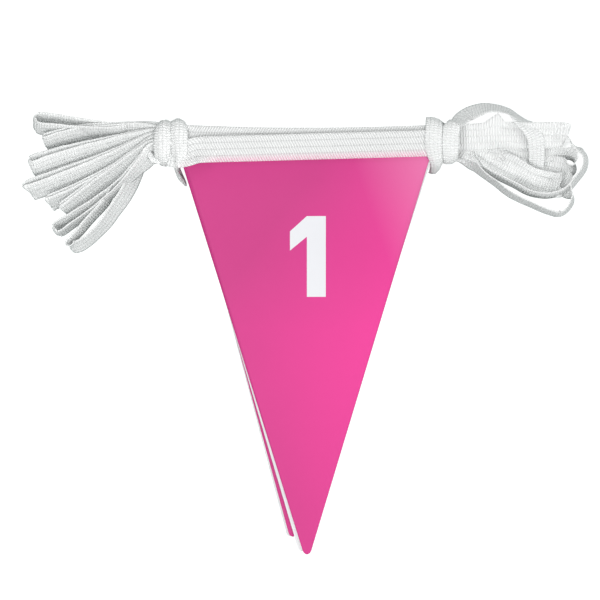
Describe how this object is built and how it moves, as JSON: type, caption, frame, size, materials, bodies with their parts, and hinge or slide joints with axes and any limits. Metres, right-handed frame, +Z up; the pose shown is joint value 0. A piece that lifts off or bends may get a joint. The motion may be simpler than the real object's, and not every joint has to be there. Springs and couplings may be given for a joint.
{
  "type": "fabric bunting",
  "caption": "Triangular cloth pennants sewn to a woven tape, folded flat into a stack, with the spare tape gathered into loops and bound at both sides.",
  "frame": {"origin": "centre of the bounding box, at the surface the bunting lies on", "axes": "+X along the heading tape towards the bundle of looped tape, -Y towards the pennants' tips, +Z up from the surface"},
  "size_m": [0.4562, 0.3616, 0.0304],
  "materials": {
    "pink_cloth": "satin",
    "white_tape": "matte"
  },
  "bodies": {
    "root": {"pennant_01": "pink_cloth", "pennant_02": "pink_cloth", "pennant_03": "pink_cloth", "pennant_04": "pink_cloth", "pennant_05": "pink_cloth", "pennant_06": "pink_cloth", "pennant_07": "pink_cloth", "pennant_08": "pink_cloth", "pennant_09": "pink_cloth", "pennant_10": "pink_cloth", "pennant_11": "pink_cloth", "tape": "white_tape"}
  },
  "joints": []
}
